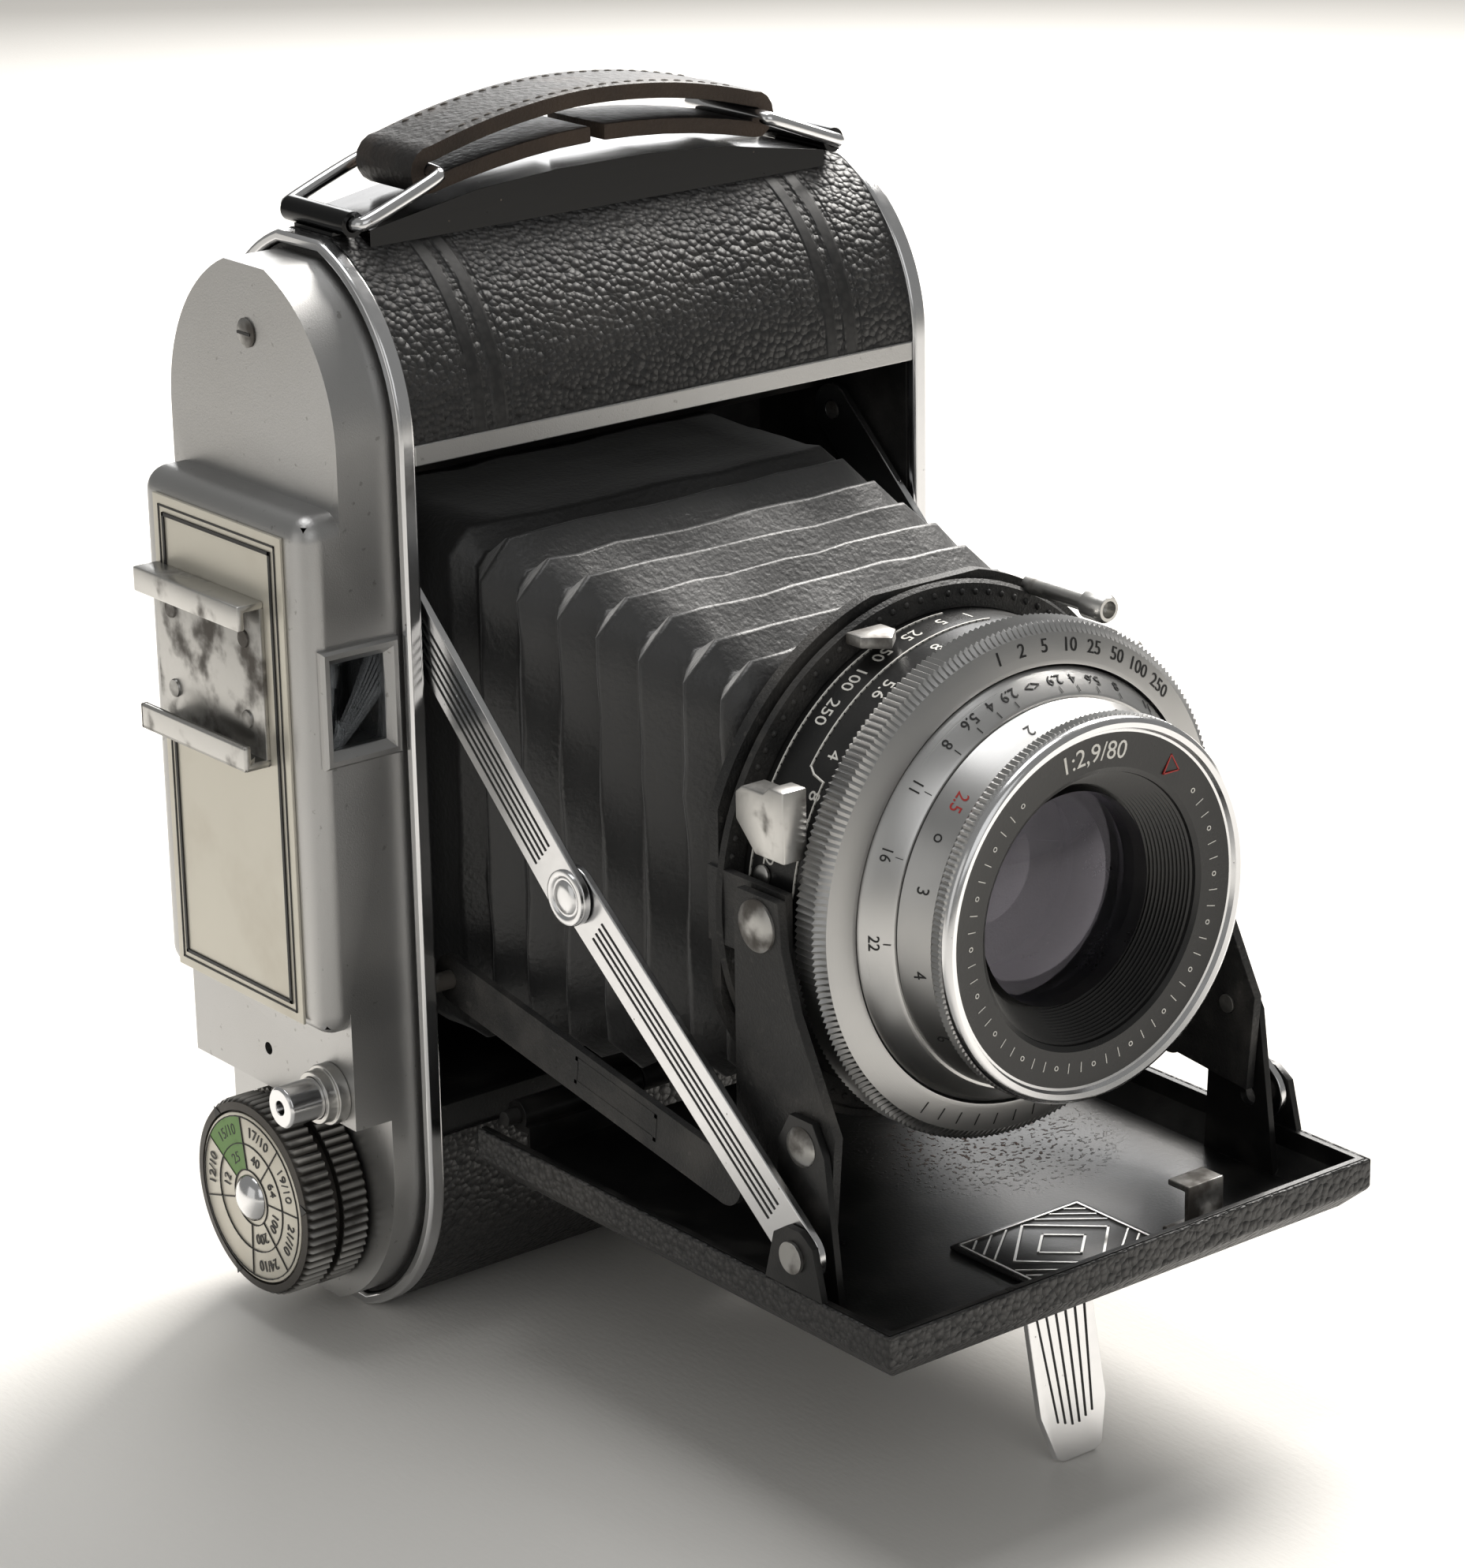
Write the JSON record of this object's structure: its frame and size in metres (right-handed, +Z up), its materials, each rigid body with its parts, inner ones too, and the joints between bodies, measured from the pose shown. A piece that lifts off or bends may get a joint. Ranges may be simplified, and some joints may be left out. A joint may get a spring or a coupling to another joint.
{
  "type": "folding bellows camera",
  "caption": "Metal folding camera for roll film with a drop bed, leather bellows, front shutter with focusing lens, folding struts, hand strap and a kick foot that lets it stand on end.",
  "frame": {"origin": "centre of the rounded body's lower end flat, on the surface that the camera stands on", "axes": "+Z up, the lens looks along -Y, the winding side and top housing are at -X, the base side with the tripod thread at +X"},
  "size_m": [0.1002, 0.1242, 0.1499],
  "materials": {
    "black_paint": "fine textured black enamel, worn at the edges",
    "leather_cover": "pebbled black leather cloth",
    "chrome": "bright polished plating with fine scratches",
    "nickel": "worn nickel plating, darkened in the grooves",
    "satin_chrome": "fine grained satin plating",
    "aluminium": "matte, slightly brushed",
    "brass": "dull brass",
    "glass": "coated optical glass",
    "red_glass": "deep red",
    "cream": "pale enamel with a thin black border",
    "bellows_cloth": "smooth black leathercloth over card",
    "strap_leather": "dark leather with raw tan edges"
  },
  "bodies": {
    "body": {"body_shell": "black_paint", "upper_leather": "leather_cover", "lower_leather": "leather_cover", "trim_strip": "aluminium", "rim_winding_side": "chrome", "rim_base_side": "chrome", "base_cover": "satin_chrome", "tripod_bush": "nickel", "film_gate": "black_paint", "body_pins": "nickel", "top_housing": "satin_chrome", "name_plate": "cream", "accessory_shoe": "nickel", "housing_fasteners": "nickel", "finder_frame": "satin_chrome", "finder_lenses": "glass", "release_collar": "nickel", "strap_mount": "chrome", "strap_loops": "chrome", "leather_strap": "strap_leather", "bed_hinge": "black_paint", "bellows": "bellows_cloth"},
    "door": {"back_door": "leather_cover", "pressure_plate": "black_paint", "window_glass": "red_glass"},
    "window_cover": {"window_slide": "black_paint"},
    "latch": {"back_latch": "chrome"},
    "roller_upper": {"film_roller_upper": "nickel"},
    "roller_lower": {"film_roller_lower": "nickel"},
    "takeup": {"takeup_spool": "black_paint"},
    "supply": {"supply_spool": "black_paint"},
    "knob": {"winding_knob": "nickel"},
    "speed_disc": {"film_speed_disc": "cream"},
    "release": {"release_button": "chrome"},
    "bed_button": {"bed_release_button": "chrome"},
    "bed": {"bed_tray": "black_paint", "bed_leather": "leather_cover", "bed_badge": "nickel", "bed_hook": "nickel", "bed_rivets": "brass"},
    "foot": {"kick_foot": "chrome"},
    "brackets": {"lens_brackets": "black_paint", "bracket_rivets": "nickel"},
    "lens": {"lens_standard": "black_paint", "shutter_housing": "black_paint", "iris_blades": "black_paint", "rear_cell": "black_paint", "sync_socket": "chrome", "depth_band": "satin_chrome"},
    "speeds": {"speed_ring": "nickel"},
    "focus": {"focus_ring": "satin_chrome", "front_cell": "chrome", "front_glass": "glass"},
    "cocking": {"cocking_lever": "chrome"},
    "aperture": {"aperture_lever": "chrome"},
    "release_arm": {"release_lever": "chrome"},
    "lower_strut_pair": {"lower_struts": "chrome"},
    "upper_strut_pair": {"upper_struts": "chrome", "strut_rivets": "chrome"},
    "links": {"black_links": "black_paint"}
  },
  "joints": [
    {"name": "bed_fold", "type": "hinge", "parent": "body", "child": "bed", "pos_m": [0, -0.0242, 0.0295], "axis": [-1, 0, 0], "range_deg": [0, 89], "deforming": ["bellows"]},
    {"name": "bracket_fold", "type": "hinge", "parent": "bed", "child": "brackets", "pos_m": [0, -0.084, 0.046], "axis": [-1, 0, 0], "range_deg": [0, 68.13]},
    {"name": "lens_fold", "type": "hinge", "parent": "brackets", "child": "lens", "pos_m": [0, -0.0755, 0.0696], "axis": [-1, 0, 0], "range_deg": [-157.13, 0]},
    {"name": "lower_strut_fold", "type": "hinge", "parent": "bed", "child": "lower_strut_pair", "pos_m": [0, -0.0864, 0.0345], "axis": [-1, 0, 0], "range_deg": [0, 3.63]},
    {"name": "upper_strut_fold", "type": "hinge", "parent": "body", "child": "upper_strut_pair", "pos_m": [0, -0.0055, 0.103], "axis": [-1, 0, 0], "range_deg": [-62.89, 0]},
    {"name": "link_fold", "type": "hinge", "parent": "body", "child": "links", "pos_m": [0, -0.0185, 0.047], "axis": [-1, 0, 0], "range_deg": [0, 104.42]},
    {"name": "foot_fold", "type": "hinge", "parent": "bed", "child": "foot", "pos_m": [0, -0.088, 0.023], "axis": [1, 0, 0], "range_deg": [0, 101.7]},
    {"name": "door_hinge", "type": "hinge", "parent": "body", "child": "door", "pos_m": [0, 0.01, 0.135], "axis": [1, 0, 0], "range_deg": [0, 100]},
    {"name": "window_slide", "type": "slide", "parent": "door", "child": "window_cover", "axis": [0, 0, 1], "range_m": [0, 0.012]},
    {"name": "latch_slide", "type": "slide", "parent": "door", "child": "latch", "axis": [0, 0, 1], "range_m": [0, 0.004], "stiffness_N_per_m": 150, "springref_m": -0.002},
    {"name": "knob_turn", "type": "hinge", "parent": "body", "child": "knob", "pos_m": [0, 0, 0.0172], "axis": [1, 0, 0], "continuous": true},
    {"name": "takeup_turn", "type": "hinge", "parent": "body", "child": "takeup", "pos_m": [0, 0, 0.0172], "axis": [1, 0, 0], "continuous": true},
    {"name": "supply_turn", "type": "hinge", "parent": "body", "child": "supply", "pos_m": [0, 0.0025, 0.1193], "axis": [1, 0, 0], "continuous": true},
    {"name": "upper_roller_turn", "type": "hinge", "parent": "body", "child": "roller_upper", "pos_m": [0, 0.0142, 0.1075], "axis": [1, 0, 0], "continuous": true},
    {"name": "lower_roller_turn", "type": "hinge", "parent": "body", "child": "roller_lower", "pos_m": [0, 0.0142, 0.035], "axis": [1, 0, 0], "continuous": true},
    {"name": "speed_disc_turn", "type": "hinge", "parent": "knob", "child": "speed_disc", "pos_m": [0, 0, 0.0172], "axis": [1, 0, 0], "range_deg": [-150, 150]},
    {"name": "release_press", "type": "slide", "parent": "body", "child": "release", "axis": [1, 0, 0], "range_m": [0, 0.003], "stiffness_N_per_m": 300, "springref_m": -0.002},
    {"name": "bed_button_press", "type": "slide", "parent": "body", "child": "bed_button", "axis": [-1, 0, 0], "range_m": [0, 0.0012], "stiffness_N_per_m": 400, "springref_m": -0.002},
    {"name": "speed_ring_turn", "type": "hinge", "parent": "lens", "child": "speeds", "pos_m": [0, 0, 0.0687], "axis": [0, -1, 0], "range_deg": [-100, 100]},
    {"name": "focus_turn", "type": "hinge", "parent": "lens", "child": "focus", "pos_m": [0, 0, 0.0687], "axis": [0, -1, 0], "range_deg": [-20, 250]},
    {"name": "cocking_turn", "type": "hinge", "parent": "lens", "child": "cocking", "pos_m": [0, 0, 0.0687], "axis": [0, 1, 0], "range_deg": [0, 25]},
    {"name": "aperture_turn", "type": "hinge", "parent": "lens", "child": "aperture", "pos_m": [0, 0, 0.0687], "axis": [0, 1, 0], "range_deg": [-4, 30]},
    {"name": "release_lever_turn", "type": "hinge", "parent": "lens", "child": "release_arm", "pos_m": [0, 0, 0.0687], "axis": [0, 1, 0], "range_deg": [0, 8], "stiffness_Nm_per_rad": 0.02, "springref_deg": -5.73}
  ],
  "couplings": [
    {"joint": "bracket_fold", "follows": "bed_fold", "ratio": 0.76539},
    {"joint": "lens_fold", "follows": "bed_fold", "ratio": -1.7654},
    {"joint": "lower_strut_fold", "follows": "bed_fold", "ratio": 0.0406},
    {"joint": "upper_strut_fold", "follows": "bed_fold", "ratio": -0.70641},
    {"joint": "link_fold", "follows": "bed_fold", "ratio": 1.173},
    {"joint": "takeup_turn", "follows": "knob_turn", "ratio": 1}
  ]
}
